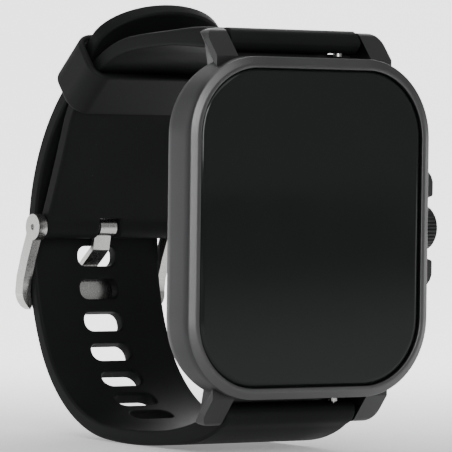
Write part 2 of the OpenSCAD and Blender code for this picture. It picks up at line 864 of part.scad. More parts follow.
module buckle_tongue() {
  color("#c4c4c1")
    difference() {
      across_x(-tongue_w / 2, tongue_w / 2)
        translate(bar_axis) {
          circle(buckle_bar_r + run_gap + 0.5);
          stroke(tongue_line, tongue_t / 2);
        }
      rod_x(bar_axis, -tongue_w, tongue_w, buckle_bar_r + run_gap);
    }
}

module buckle_bar_tube() {
  color("#b4b4b4")
    difference() {
      rod_x(bar_axis, -buckle_in + 0.4, buckle_in - 0.4, buckle_bar_r);
      for (side = [0, 1])
        mirror([side, 0, 0])
          rod_x(bar_axis, buckle_in - 3, buckle_in, buckle_tip_r);
    }
}

module buckle_bar_tips() {
  color("#c8c8c8")
    for (side = [0, 1])
      mirror([side, 0, 0])
        rod_x(bar_axis, buckle_in - 3, buckle_out - 0.35, buckle_tip_r);
}

midframe();
bezel_ring();
cover_glass();
display_gasket();
display_panel();
display_flex();
main_board();
battery();
vibration_motor();
back_cover();
back_gasket();
case_screws();
sensor_window();
sensor_board();
charging_contacts();
side_switch();
crown_knob();
crown_stem();
crown_seal();
crown_clip();
crown_plunger();
top_bar_tube();
top_bar_tip();
top_bar_release();
bottom_bar_tube();
bottom_bar_tip();
bottom_bar_release();
strap_top_end();
strap_buckle_side();
strap_hole_side();
strap_bottom_end();
keeper();
buckle_frame();
buckle_tongue();
buckle_bar_tube();
buckle_bar_tips();
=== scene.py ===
"""Finished look of a fastened smartwatch, built round its mechanical frame."""

import json
import logging
import math
from dataclasses import dataclass, field
from enum import Enum
from typing import Any, Callable, Sequence

import bmesh
import bpy
from mathutils import Matrix, Vector

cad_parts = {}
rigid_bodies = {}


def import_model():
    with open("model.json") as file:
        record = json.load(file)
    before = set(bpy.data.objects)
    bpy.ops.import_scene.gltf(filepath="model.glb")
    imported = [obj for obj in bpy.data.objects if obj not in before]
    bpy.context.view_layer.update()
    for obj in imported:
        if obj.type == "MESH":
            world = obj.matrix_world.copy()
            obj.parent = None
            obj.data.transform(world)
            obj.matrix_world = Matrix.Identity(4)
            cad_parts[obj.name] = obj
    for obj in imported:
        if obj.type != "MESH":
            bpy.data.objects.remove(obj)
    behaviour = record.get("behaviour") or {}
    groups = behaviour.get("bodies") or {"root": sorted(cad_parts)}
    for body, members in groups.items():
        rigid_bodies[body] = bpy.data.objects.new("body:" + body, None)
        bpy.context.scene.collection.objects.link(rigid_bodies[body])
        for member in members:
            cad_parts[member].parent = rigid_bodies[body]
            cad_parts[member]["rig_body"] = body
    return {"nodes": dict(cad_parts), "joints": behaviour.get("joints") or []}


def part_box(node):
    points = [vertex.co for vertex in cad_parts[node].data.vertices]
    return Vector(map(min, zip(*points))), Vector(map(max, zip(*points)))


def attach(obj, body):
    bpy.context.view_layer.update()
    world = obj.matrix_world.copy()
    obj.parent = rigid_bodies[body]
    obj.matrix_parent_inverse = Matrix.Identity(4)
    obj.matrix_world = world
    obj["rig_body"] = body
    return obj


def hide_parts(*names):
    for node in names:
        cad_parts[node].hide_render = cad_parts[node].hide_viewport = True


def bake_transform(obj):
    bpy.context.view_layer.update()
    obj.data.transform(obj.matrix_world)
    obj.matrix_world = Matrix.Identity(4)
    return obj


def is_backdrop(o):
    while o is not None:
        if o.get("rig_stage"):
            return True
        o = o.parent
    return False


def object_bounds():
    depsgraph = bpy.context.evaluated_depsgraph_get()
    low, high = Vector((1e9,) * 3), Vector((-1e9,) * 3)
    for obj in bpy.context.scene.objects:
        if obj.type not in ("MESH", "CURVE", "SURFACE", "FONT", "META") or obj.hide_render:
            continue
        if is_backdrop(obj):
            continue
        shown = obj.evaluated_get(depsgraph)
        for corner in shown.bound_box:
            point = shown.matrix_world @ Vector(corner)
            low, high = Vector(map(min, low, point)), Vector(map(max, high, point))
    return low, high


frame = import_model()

MM = 0.001
LOG = logging.getLogger("smartwatch")
MIX_LOW, MIX_HIGH, MIX_COLOUR = 6, 7, 2  # a Mix node's colour inputs and its colour output
STRAP_SMOOTH_DEG = 44.0  # sharper edges of the strap and keeper keep a hard shading line

Point = tuple[float, float]
Colour = tuple[float, float, float]
Wiring = dict[str, Any]


class Grain(Enum):
    """Directions that a brushed grain can run in, as scale factors along X, Y and Z."""

    NONE = (1.0, 1.0, 1.0)
    ALONG_Z = (1.0, 1.0, 0.04)


class Edge(Enum):
    """Edge roundings of softened parts, in millimetres."""

    CRISP = 0.05
    FINE = 0.12
    TONGUE = 0.16
    SOFT = 0.22
    BUCKLE = 0.3


# --- Shader wiring -------------------------------------------------------------------------


class Value:
    """A shader number that takes part in Python expressions."""

    def __init__(self, paint: "Paint", socket: bpy.types.NodeSocket) -> None:
        """Wraps a socket of a material's tree."""
        self.paint = paint
        self.socket = socket

    def _math(self, operation: str, first: Any, second: Any) -> "Value":
        """Adds one Math node on two values or numbers."""
        inputs = {0: first, 1: second}
        return Value(self.paint, self.paint.node("ShaderNodeMath", {"operation": operation}, inputs))

    def __add__(self, other: Any) -> "Value":
        """Adds a value or number."""
        return self._math("ADD", self, other)

    __radd__ = __add__

    def __mul__(self, other: Any) -> "Value":
        """Multiplies by a value or number."""
        return self._math("MULTIPLY", self, other)

    __rmul__ = __mul__

    def __sub__(self, other: Any) -> "Value":
        """Takes a value or number away."""
        return self._math("SUBTRACT", self, other)

    def __rsub__(self, other: Any) -> "Value":
        """Takes this value away from a number."""
        return self._math("SUBTRACT", other, self)

    def ramp(self, low: float, high: float) -> "Value":
        """Smooth 0 to 1 step between two levels.

        Args:
            low: level that gives 0.
            high: level that gives 1.

        Returns:
            The step.
        """
        settings = {"interpolation_type": "SMOOTHSTEP"}
        inputs = {"Value": self, "From Min": low, "From Max": high}
        return Value(self.paint, self.paint.node("ShaderNodeMapRange", settings, inputs))


class Paint:
    """One node material round a Principled shader."""

    def __init__(self, name: str) -> None:
        """Starts an empty material.

        Args:
            name: the material's name.
        """
        self.material = bpy.data.materials.new(name)
        self.material.use_nodes = True
        self.tree = self.material.node_tree
        self.tree.nodes.clear()
        self.shader = self.tree.nodes.new("ShaderNodeBsdfPrincipled")
        output = self.tree.nodes.new("ShaderNodeOutputMaterial")
        self.tree.links.new(self.shader.outputs[0], output.inputs["Surface"])

    def wire(self, target: bpy.types.NodeSocket, source: Any) -> None:
        """Sets a socket to a constant, or links a value or socket to it.

        Args:
            target: the input socket.
            source: a constant, a value or an output socket.
        """
        if isinstance(source, Value):
            source = source.socket
        if isinstance(source, bpy.types.NodeSocket):
            self.tree.links.new(source, target)
        else:
            target.default_value = source

    def node(self, kind: str, settings: Wiring, inputs: dict[Any, Any],
             output: Any = 0) -> bpy.types.NodeSocket:
        """Adds a node.

        Args:
            kind: the node's type.
            settings: its attributes, set first.
            inputs: values or links of its sockets.
            output: which output to hand back.

        Returns:
            The chosen output socket.
        """
        made = self.tree.nodes.new(kind)
        for name, setting in settings.items():
            setattr(made, name, setting)
        for name, source in inputs.items():
            self.wire(made.inputs[name], source)
        return made.outputs[output]

    def place(self, grain: Grain = Grain.NONE) -> bpy.types.NodeSocket:
        """Object coordinates in metres, squeezed along a grain."""
        base = self.node("ShaderNodeTexCoord", {}, {}, "Object")
        return self.node("ShaderNodeVectorMath", {"operation": "MULTIPLY"}, {0: base, 1: grain.value})

    def noise(self, size_mm: float, detail: float = 3.0, grain: Grain = Grain.NONE) -> Value:
        """Cloudy noise.

        Args:
            size_mm: size of one feature.
            detail: layers of finer noise.
            grain: direction the noise is drawn out in.

        Returns:
            The noise, about 0.5 on average.
        """
        inputs = {"Vector": self.place(grain), "Scale": 1.0 / (size_mm * MM), "Detail": detail}
        return Value(self, self.node("ShaderNodeTexNoise", {}, inputs, "Fac"))

    def blend(self, amount: Value, low: Colour, high: Colour) -> bpy.types.NodeSocket:
        """Mixes two colours by a value."""
        return self.mix(amount, (*low, 1.0), (*high, 1.0))

    def mix(self, amount: Value, low: Any, high: Any) -> bpy.types.NodeSocket:
        """Mixes two four-part colours or colour sockets by a value.

        Args:
            amount: 0 for the low colour, 1 for the high one.
            low: the low colour, a constant or a socket.
            high: the high colour, a constant or a socket.

        Returns:
            The mixed colour socket.
        """
        inputs = {"Factor": amount, MIX_LOW: low, MIX_HIGH: high}
        return self.node("ShaderNodeMix", {"data_type": "RGBA"}, inputs, MIX_COLOUR)

    def mottled(self, amount: Value, colour: Colour, darker: float, lighter: float) -> bpy.types.NodeSocket:
        """Varies a colour between a darker and a lighter share of it.

        Args:
            amount: 0 for the darker share, 1 for the lighter one.
            colour: the colour.
            darker: factor of the darker share.
            lighter: factor of the lighter share.

        Returns:
            The varied colour socket.
        """
        return self.blend(amount, tuple(darker * part for part in colour),
                          tuple(lighter * part for part in colour))

    def bump(self, height: Value, depth_mm: float) -> None:
        """Raises the surface by a height value, up to a depth.

        Args:
            height: the height, from 0 to 1.
            depth_mm: rise at a height of 1.
        """
        inputs = {"Height": height, "Distance": depth_mm * MM, "Strength": 1.0}
        self.wire(self.shader.inputs["Normal"], self.node("ShaderNodeBump", {}, inputs))

    def set(self, **sockets: Any) -> "Paint":
        """Sets shader sockets by name, with underscores for spaces.

        Args:
            **sockets: constants, values or sockets by input name.

        Returns:
            This paint.
        """
        for name, source in sockets.items():
            self.wire(self.shader.inputs[name.replace("_", " ")], source)
        return self


@dataclass(frozen=True)
class BlastedMetal:
    """Anodised or blasted metal with a fine even tooth and faint handling marks."""

    name: str
    colour: Colour
    roughness: float = 0.38
    tooth_mm: float = 0.12
    depth_mm: float = 0.006
    grain: Grain = Grain.NONE

    def material(self) -> bpy.types.Material:
        """Builds the material.

        Returns:
            The finished material.
        """
        paint = Paint(self.name)
        tooth = paint.noise(self.tooth_mm, 2.0, self.grain)
        cloud = paint.noise(7.0, 4.0)
        paint.set(
            Base_Color=paint.mottled(tooth * 0.55 + cloud * 0.45, self.colour, 0.82, 1.12),
            Metallic=1.0,
            Roughness=(tooth - 0.5) * 0.16 + (cloud - 0.5) * 0.1 + self.roughness,
        )
        paint.bump(tooth, self.depth_mm)
        return paint.material


@dataclass(frozen=True)
class Silicone:
    """Soft moulded silicone with a matt skin, slight mottling and a little settled dust."""

    name: str
    colour: Colour
    roughness: float = 0.5
    specular: float = 0.25
    dust_colour: Colour = (0.12, 0.12, 0.115)
    depth_mm: float = 0.012

    def material(self) -> bpy.types.Material:
        """Builds the material.

        Returns:
            The finished material.
        """
        paint = Paint(self.name)
        skin = paint.noise(0.16, 3.0)
        mottle = paint.noise(9.0, 5.0)
        dust = paint.noise(0.35, 1.0).ramp(0.74, 0.82) * mottle.ramp(0.42, 0.62)
        base = paint.mottled(mottle, self.colour, 0.8, 1.25)
        paint.set(
            Base_Color=paint.mix(dust * 0.35, base, (*self.dust_colour, 1.0)),
            Roughness=(mottle - 0.5) * 0.16 + (skin - 0.5) * 0.1 + self.roughness,
            Specular_IOR_Level=self.specular,
        )
        paint.bump(skin * 0.7 + mottle * 0.3, self.depth_mm)
        return paint.material


@dataclass(frozen=True)
class DarkGlass:
    """Coated cover glass over a display that is switched off."""

    name: str
    colour: Colour
    specular: float = 0.26

    def material(self) -> bpy.types.Material:
        """Builds the material.

        Returns:
            The finished material.
        """
        paint = Paint(self.name)
        smear = paint.noise(12.0, 5.0)
        paint.set(
            Base_Color=paint.mottled(smear, self.colour, 0.92, 1.08),
            Roughness=smear.ramp(0.45, 0.8) * 0.05 + 0.04,
            Specular_IOR_Level=self.specular,
        )
        return paint.material


@dataclass(frozen=True)
class Moulding:
    """Moulded plastic, film, board or paint with a fine texture."""

    name: str
    colour: Colour
    roughness: float = 0.45
    metallic: float = 0.0
    texture_mm: float = 0.25
    depth_mm: float = 0.006

    def material(self) -> bpy.types.Material:
        """Builds the material.

        Returns:
            The finished material.
        """
        paint = Paint(self.name)
        texture = paint.noise(self.texture_mm, 3.0)
        cloud = paint.noise(5.0, 3.0)
        paint.set(
            Base_Color=paint.mottled(cloud, self.colour, 0.86, 1.1),
            Metallic=self.metallic,
            Roughness=(texture - 0.5) * 0.14 + self.roughness,
        )
        paint.bump(texture, self.depth_mm)
        return paint.material


# --- Geometry helpers ----------------------------------------------------------------------


def new_piece(name: str, mesh: bpy.types.Mesh, material: bpy.types.Material) -> bpy.types.Object:
    """Makes a mesh object with its material.

    Args:
        name: the piece's name.
        mesh: its mesh, in metres in the row frame.
        material: its material.

    Returns:
        The new object.
    """
    piece = bpy.data.objects.new(name, mesh)
    bpy.context.scene.collection.objects.link(piece)
    mesh.materials.clear()
    mesh.materials.append(material)
    return piece


def finished(name: str, shape: bmesh.types.BMesh, material: bpy.types.Material) -> bpy.types.Object:
    """Turns a shape into a piece and frees it.

    Args:
        name: the piece's name.
        shape: the shape, in metres in the row frame.
        material: its material.

    Returns:
        The new piece, with its faces turned outward.
    """
    bmesh.ops.recalc_face_normals(shape, faces=shape.faces)
    mesh = bpy.data.meshes.new(name)
    shape.to_mesh(mesh)
    shape.free()
    return new_piece(name, mesh, material)


def even_normals(piece: bpy.types.Object, angle_deg: float = 38.0) -> None:
    """Shades a piece smooth with flats kept flat, and edges sharper than the angle kept hard.

    Args:
        piece: the piece.
        angle_deg: edges sharper than this keep a hard shading line.
    """
    mesh = piece.data
    mesh.polygons.foreach_set("use_smooth", [True] * len(mesh.polygons))
    mesh.set_sharp_from_angle(angle=math.radians(angle_deg))
    weighted = piece.modifiers.new("even", "WEIGHTED_NORMAL")
    weighted.keep_sharp = True
    weighted.weight = 60


def baked(piece: bpy.types.Object) -> bpy.types.Mesh:
    """Applies a piece's modifiers and hands back the resulting mesh.

    Args:
        piece: the piece, which takes the mesh.

    Returns:
        The resulting mesh.
    """
    graph = bpy.context.evaluated_depsgraph_get()
    mesh = bpy.data.meshes.new_from_object(piece.evaluated_get(graph))
    piece.modifiers.clear()
    piece.data = mesh
    return mesh


def softened(node: str, edge: Edge, material: bpy.types.Material, segments: int = 3,
             limit_deg: float = 28.0, sharp_deg: float = 38.0) -> bpy.types.Object:
    """Copies a CAD node and rounds its edges.

    Args:
        node: the CAD node, which the copy replaces.
        edge: radius of the rounded edges.
        material: the copy's material.
        segments: steps of each rounding.
        limit_deg: edges sharper than this are rounded.
        sharp_deg: edges sharper than this keep a hard shading line.

    Returns:
        The rounded copy, riding on the node's body.
    """
    source = frame["nodes"][node]
    mesh = source.data.copy()
    shape = bmesh.new()
    shape.from_mesh(mesh)
    bmesh.ops.remove_doubles(shape, verts=shape.verts, dist=2e-6)
    bmesh.ops.dissolve_limit(shape, angle_limit=math.radians(0.6), verts=shape.verts, edges=shape.edges)
    bmesh.ops.recalc_face_normals(shape, faces=shape.faces)
    shape.to_mesh(mesh)
    shape.free()
    piece = new_piece(node + "_shape", mesh, material)
    bevel = piece.modifiers.new("round", "BEVEL")
    bevel.width = edge.value * MM
    bevel.segments = segments
    bevel.limit_method = "ANGLE"
    bevel.angle_limit = math.radians(limit_deg)
    bevel.miter_outer = "MITER_ARC"
    baked(piece)
    even_normals(piece, sharp_deg)
    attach(piece, source["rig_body"])
    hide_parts(node)
    return piece


def plate(outline: Sequence[Point], holes: Sequence[Sequence[Point]], half_mm: float,
          edge_mm: float) -> bmesh.types.BMesh:
    """Flat plate with rounded edges, all in millimetres.

    Args:
        outline: its outline in the XY plane.
        holes: outlines of its holes.
        half_mm: half of its thickness.
        edge_mm: radius of its edges.

    Returns:
        A closed mesh centred on the XY plane.
    """
    curve = bpy.data.curves.new("plate", "CURVE")
    curve.dimensions = "2D"
    curve.fill_mode = "BOTH"
    curve.extrude = half_mm - edge_mm
    curve.bevel_depth = edge_mm
    curve.bevel_resolution = 3
    curve.offset = -edge_mm
    for ring in [outline, *holes]:
        spline = curve.splines.new("POLY")
        spline.points.add(len(ring) - 1)
        spline.use_cyclic_u = True
        for point, (x, y) in zip(spline.points, ring):
            point.co = (x, y, 0.0, 1.0)
    holder = bpy.data.objects.new("plate", curve)
    bpy.context.scene.collection.objects.link(holder)
    graph = bpy.context.evaluated_depsgraph_get()
    mesh = bpy.data.meshes.new_from_object(holder.evaluated_get(graph))
    bpy.data.objects.remove(holder)
    shape = bmesh.new()
    shape.from_mesh(mesh)
    bmesh.ops.remove_doubles(shape, verts=shape.verts, dist=1e-4)
    bmesh.ops.dissolve_limit(shape, angle_limit=math.radians(0.5), verts=shape.verts, edges=shape.edges)
    return shape


def sliced(shape: bmesh.types.BMesh, low: float, high: float, step: float) -> None:
    """Cuts a mesh across X at even steps, so that it can bend.

    Args:
        shape: the mesh, in millimetres.
        low: where the mesh begins along X.
        high: where it ends.
        step: length of one slice, roughly.
    """
    count = int((high - low) / step)
    for index in range(1, count):
        geometry = shape.verts[:] + shape.edges[:] + shape.faces[:]
        plane = Vector((low + (high - low) * index / count, 0, 0))
        bmesh.ops.bisect_plane(shape, geom=geometry, plane_co=plane, plane_no=Vector((1, 0, 0)), dist=1e-5)


def rounded_box(width: float, height: float, radius: float, steps: int = 8) -> list[Point]:
    """Outline of a rounded rectangle centred on the origin, counter-clockwise.

    Args:
        width: its size along the first axis.
        height: its size along the second axis.
        radius: radius of its corners.
        steps: steps of one corner.

    Returns:
        The outline's points.
    """
    ring = []
    for quarter, (sx, sy) in enumerate([(1, 1), (-1, 1), (-1, -1), (1, -1)]):
        for step in range(steps + 1):
            angle = math.radians(90 * (quarter + step / steps))
            ring.append((sx * (width / 2 - radius) + radius * math.cos(angle),
                         sy * (height / 2 - radius) + radius * math.sin(angle)))
    return ring


def carved(piece: bpy.types.Object, low: Vector, high: Vector) -> None:
    """Cuts a box out of a piece, between two corners in metres.

    Args:
        piece: the piece.
        low: the box's lower corner.
        high: its upper corner.
    """
    mesh = bpy.data.meshes.new("cutter")
    shape = bmesh.new()
    bmesh.ops.create_cube(shape, size=1.0)
    shape.to_mesh(mesh)
    shape.free()
    mesh.transform(Matrix.LocRotScale((low + high) / 2, None, high - low))
    cutter = bpy.data.objects.new("cutter", mesh)
    bpy.context.scene.collection.objects.link(cutter)
    cut = piece.modifiers.new("cut", "BOOLEAN")
    cut.operation = "DIFFERENCE"
    cut.solver = "EXACT"
    cut.object = cutter
    bpy.context.view_layer.update()
    baked(piece)
    bpy.data.objects.remove(cutter)


# --- Case ----------------------------------------------------------------------------------


@dataclass
class Case:
    """Case with its bezel ring, cover glass, back cover and everything inside."""

    corner_r: float = 10.8
    ring_w: float = 1.55
    ring_t: float = 0.6
    ring_slope: float = 0.5
    glass_gap: float = 0.1
    glass_edge: float = 0.6
    glass_roll: float = 1.5
    glass_steps: int = 7
    corner_steps: int = 18
    metal: BlastedMetal = BlastedMetal("case metal", (0.075, 0.075, 0.077), 0.42)
    ring_metal: BlastedMetal = BlastedMetal("ring metal", (0.13, 0.13, 0.132), 0.4)
    glass: DarkGlass = DarkGlass("cover glass", (0.0104, 0.0121, 0.0116))
    made: list[bpy.types.Object] = field(default_factory=list)

    def rim(self, name: str, profile: Sequence[Point], closed: bool, material: bpy.types.Material) -> bpy.types.Object:
        """Sweeps an edge profile round the case outline.

        Args:
            name: the piece's name.
            profile: [inset from the case outline, y] points, in millimetres.
            closed: True for a ring, False for a plate with flat faces.
            material: the piece's material.

        Returns:
            The piece, not yet riding on a body.
        """
        low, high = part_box("bezel_ring")
        width, height = (high.x - low.x) / MM, (high.z - low.z) / MM
        shape = bmesh.new()
        loops = []
        for inset, y in profile:
            ring = rounded_box(width - 2 * inset, height - 2 * inset, self.corner_r - inset,
                               self.corner_steps)
            loops.append([shape.verts.new((x * MM, y * MM, z * MM)) for x, z in ring])
        pairs = list(zip(loops, loops[1:])) + ([(loops[-1], loops[0])] if closed else [])
        for first, second in pairs:
            for index in range(len(first)):
                after = (index + 1) % len(first)
                shape.faces.new((first[index], first[after], second[after], second[index]))
        if not closed:
            shape.faces.new(loops[0])
            shape.faces.new(loops[-1])
        return finished(name, shape, material)

    def build_ring(self) -> None:
        """Bezel ring: flat front, rounded shoulder and a sloping outer chamfer."""
        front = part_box("bezel_ring")[0].y / MM
        back = front + self.ring_t
        profile = [
            (self.ring_w, back), (self.ring_w, front + 0.12), (self.ring_w - 0.04, front + 0.04),
            (self.ring_w - 0.12, front), (1.08, front), (0.96, front + 0.02), (0.84, front + 0.07),
            (0.16, front + self.ring_slope - 0.1), (0.06, front + self.ring_slope - 0.02),
            (0.0, front + self.ring_slope + 0.06), (0.0, back - 0.03), (0.03, back),
        ]
        piece = self.rim("bezel_ring_shape", profile, True, self.ring_metal.material())
        even_normals(piece, 50)
        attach(piece, "case")
        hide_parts("bezel_ring")
        self.made.append(piece)

    def build_glass(self) -> None:
        """Cover glass with a rounded edge that rolls down into the ring."""
        low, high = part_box("cover_glass")
        front, back = low.y / MM, high.y / MM
        start = self.ring_w + self.glass_gap
        profile = [(start, back), (start, front + self.glass_edge)]
        for step in range(1, self.glass_steps + 1):
            angle = math.radians(90 * step / self.glass_steps)
            profile.append((start + self.glass_roll * self.glass_edge * (1 - math.cos(angle)),
                            front + self.glass_edge * (1 - math.sin(angle))))
        piece = self.rim("cover_glass_shape", profile, False, self.glass.material())
        even_normals(piece, 60)
        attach(piece, "case")
        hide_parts("cover_glass")
        self.made.append(piece)

    def build_body(self) -> None:
        """Midframe with its lugs, back cover, sensor window and screws, edges rounded."""
        metal = self.metal.material()
        cover = Moulding("back cover", (0.02, 0.02, 0.021), 0.42).material()
        window = DarkGlass("sensor window", (0.006, 0.006, 0.008)).material()
        steel = BlastedMetal("screw steel", (0.5, 0.5, 0.5), 0.3, 0.05, 0.002).material()
        gold = BlastedMetal("contact gold", (0.78, 0.55, 0.22), 0.25, 0.05, 0.002).material()
        self.made += [
            softened("midframe", Edge.SOFT, metal),
            softened("back_cover", Edge.FINE, cover, segments=5, limit_deg=36.0,
                     sharp_deg=20.0),
            softened("sensor_window", Edge.FINE, window),
            softened("case_screws", Edge.CRISP, steel, segments=2),
            softened("charging_contacts", Edge.FINE, gold),
        ]

    def dress_inside(self) -> None:
        """Gives each sealed inner piece its own finish."""
        finishes = {
            ("display_gasket", "back_gasket"): Moulding("seal", (0.02, 0.02, 0.02), 0.7),
            ("display_panel",): Moulding("display back", (0.03, 0.032, 0.036), 0.35, 0.2),
            ("display_flex",): Moulding("flex film", (0.45, 0.2, 0.04), 0.35, 0.1, 0.6),
            ("main_board", "sensor_board"): Moulding("board", (0.02, 0.11, 0.05), 0.4, 0.0, 0.5, 0.01),
            ("battery",): Moulding("cell foil", (0.5, 0.51, 0.53), 0.35, 1.0, 1.2, 0.02),
            ("vibration_motor", "side_switch"): BlastedMetal("stamped steel", (0.55, 0.55, 0.54), 0.3),
        }
        for nodes, finish in finishes.items():
            dress_nodes(nodes, finish.material())

    def build(self) -> list[bpy.types.Object]:
        """Builds and dresses the whole case.

        Returns:
            The case's pieces.
        """
        self.build_ring()
        self.build_glass()
        self.build_body()
        self.dress_inside()
        return self.made


def dress_nodes(nodes: Sequence[str], material: bpy.types.Material) -> None:
    """Gives CAD nodes that stay visible a material.

    Args:
        nodes: names of the nodes.
        material: their material.
    """
    for node in nodes:
        mesh = frame["nodes"][node].data
        mesh.materials.clear()
        mesh.materials.append(material)
        LOG.info("dressed %s", node)


@dataclass
class Crown:
    """Fluted crown with its stem, seal, clip and sliding shoe."""

    metal: BlastedMetal = BlastedMetal("crown metal", (0.06, 0.06, 0.062), 0.34)

    def build(self) -> list[bpy.types.Object]:
        """Builds the crown's knob and dresses what is behind it.

        Returns:
            The knob, as the only piece.
        """
        knob = softened("crown_knob", Edge.CRISP, self.metal.material(), segments=2,
                        limit_deg=24.0)
        dress_nodes(("crown_stem", "crown_clip", "crown_plunger"),
                    BlastedMetal("turned steel", (0.55, 0.55, 0.54), 0.26, 0.08, 0.003).material())
        dress_nodes(("crown_seal",), Moulding("crown seal", (0.015, 0.015, 0.015), 0.6).material())
        return [knob]


# --- Strap ---------------------------------------------------------------------------------


@dataclass(frozen=True)
class Route:
    """Route in the YZ plane made of arcs, in millimetres and degrees."""

    start: Point
    heading: float
    runs: tuple[Point, ...]

    def length(self) -> float:
        """Length of the whole route."""
        return sum(run[0] for run in self.runs)

    def at(self, s: float) -> tuple[float, float, float]:
        """Place at a distance along the route.

        Args:
            s: the distance, which may pass either end.

        Returns:
            y, z and heading in degrees.
        """
        y, z, heading = *self.start, self.heading
        for index, (length, turn) in enumerate(self.runs):
            last = index == len(self.runs) - 1
            part = s if s <= length or last else length
            swing = turn * max(part, 0.0) / length
            half = math.radians(swing / 2)
            chord = part * (math.sin(half) / half if abs(half) > 1e-6 else 1.0)
            angle = math.radians(heading) + half
            y, z, heading = y + chord * math.cos(angle), z + chord * math.sin(angle), heading + swing
            s -= length
            if s <= 0:
                break
        return y, z, heading


@dataclass
class Strap:
    """Both halves of the strap, each one soft moulding, with the keeper."""

    width: float = 21.6
    thickness: float = 2.1
    root: float = 2.9
    barrel_r: float = 1.7
    edge: float = 0.42
    step: float = 0.7
    end_gap: float = 0.03
    taper_end: float = 15.0
    taper_l: float = 10.0
    short_heading: float = 5.5
    short_runs: tuple[Point, ...] = ((14, -7.5), (9.2, -3.2), (18.3, -47.8), (3.4, -16.3), (16, 4.2))
    cross_heading: float = 92.5
    cross_gap: float = 0.2
    tail_runs: tuple[Point, ...] = ((21, 43), (17.8, -4.2))
    rear_runs: tuple[Point, ...] = ((17.2, -27.6), (21.7, -59.4), (9.7, -8))
    root_heading: float = 140.0
    leads: Point = (7.5, 5.0)
    closing_steps: int = 48
    blend_from: float = 14.0
    hole: Point = (3.0, 6.5)
    hole_r: float = 1.3
    pitch: float = 5.0
    first_hole: float = 4.4
    holes_below: int = 7
    holes_above: int = 3
    tip_depth: float = 6.5
    tip_steps: int = 28
    slot_half: float = 1.7
    lever_x: float = 8.2
    lever_reach: Point = (2.1, 0.9)
    lever_half: float = 0.9
    lever_span: Point = (1.1, 3.0)
    bar_r: float = 0.45
    keeper_s: float = 36.8
    keeper_l: float = 8.0
    keeper_t: float = 1.1
    keeper_low: float = 0.8
    keeper_high: float = 1.3
    keeper_side: float = 0.4
    keeper_corners: Point = (2.9, 1.2)
    finish: Silicone = Silicone("strap silicone", (0.0112, 0.0118, 0.0118), 0.5, 0.06)
    keeper_finish: Silicone = Silicone("keeper silicone", (0.0115, 0.012, 0.012), 0.55, 0.12)

    def __post_init__(self) -> None:
        """Works the routes out from the spring bars' places."""
        top = joint_place("strap_sway")
        self.bottom = (top[0], -top[1])
        self.bar = joint_place("buckle_pivot")
        self.short = Route(top, self.short_heading, self.short_runs)
        cross = (self.bar[0] + self.barrel_r + self.cross_gap + self.thickness / 2, self.bar[1])
        self.tail = Route(cross, self.cross_heading, self.tail_runs)
        self.rear = Route(cross, self.cross_heading - 180, self.rear_runs)
        self.closing = self.closing_table()
        self.tip_s = -self.tail.length()
        self.end_s = self.rear.length() + self.closing[-1][0]

    def closing_table(self) -> list[tuple[float, float, float, float]]:
        """Closing curve from the rear route's end to the bottom spring bar.

        Returns:
            Rows of distance, y, z and heading in degrees, along a cubic curve.
        """
        y, z, heading = self.rear.at(self.rear.length())
        lead, root = math.radians(heading), math.radians(self.root_heading)
        a = Vector((y, z))
        d = Vector(self.bottom)
        b = a + self.leads[0] * Vector((math.cos(lead), math.sin(lead)))
        c = d - self.leads[1] * Vector((math.cos(root), math.sin(root)))
        table, travelled, before = [], 0.0, a
        for index in range(self.closing_steps + 1):
            u = index / self.closing_steps
            v = 1 - u
            p = v ** 3 * a + 3 * v * v * u * b + 3 * v * u * u * c + u ** 3 * d
            slope = v * v * (b - a) + 2 * v * u * (c - b) + u * u * (d - c)
            travelled += (p - before).length
            before = p
            table.append((travelled, p.x, p.y, math.degrees(math.atan2(slope.y, slope.x))))
        return table

    def long_at(self, s: float) -> tuple[float, float, float]:
        """Place on the long half, from its tip at a negative distance to the bottom spring bar.

        Args:
            s: distance from the buckle's crossing.

        Returns:
            y, z and heading in degrees.
        """
        if s < 0:
            y, z, heading = self.tail.at(-s)
            return y, z, heading - 180
        if s <= self.rear.length():
            return self.rear.at(s)
        left = s - self.rear.length()
        table = self.closing
        for first, second in zip(table, table[1:]):
            if left <= second[0] or second is table[-1]:
                share = (left - first[0]) / (second[0] - first[0])
                return tuple(a + share * (b - a) for a, b in zip(first[1:], second[1:]))
        raise ValueError("past the strap's end")

    def half_at(self, from_lug: float) -> float:
        """Half of the strap's thickness at a distance from its lug's spring bar, rounded round the bar.

        Args:
            from_lug: the distance.

        Returns:
            Half of the thickness.
        """
        taper = min(1.0, max(0.0, (self.taper_end - from_lug) / self.taper_l))
        smooth = taper * taper * (3 - 2 * taper)
        plain = (self.thickness + (self.root - self.thickness) * smooth) / 2
        return self.swelled(plain, from_lug)

    def swelled(self, plain: float, from_bar: float) -> float:
        """Half thickness that follows the barrel round a bar and then runs on flat.

        Args:
            plain: half thickness away from the bar.
            from_bar: distance from the bar, negative past it.

        Returns:
            The half thickness there.
        """
        barrel = math.sqrt(max(self.barrel_r ** 2 - from_bar ** 2, 1e-4))
        if from_bar < 0:
            return barrel
        return max(plain, barrel)

    def bent(self, name: str, shape: bmesh.types.BMesh, place: Callable[[float], tuple[float, float, float]],
             half: Callable[[float], float]) -> bpy.types.Object:
        """Bends a flat strap along its route.

        Args:
            name: the piece's name.
            shape: the flat plate, with X along the strap and half the strap's thickness as its own.
            place: route function.
            half: half thickness at a distance along the route.

        Returns:
            The bent strap.
        """
        for vert in shape.verts:
            s, across, lift = vert.co
            y, z, heading = place(s)
            angle = math.radians(heading)
            rise = lift * half(s) / (self.thickness / 2)
            vert.co = Vector((across, y - rise * math.sin(angle), z + rise * math.cos(angle))) * MM
        return finished(name, shape, self.finish.material())

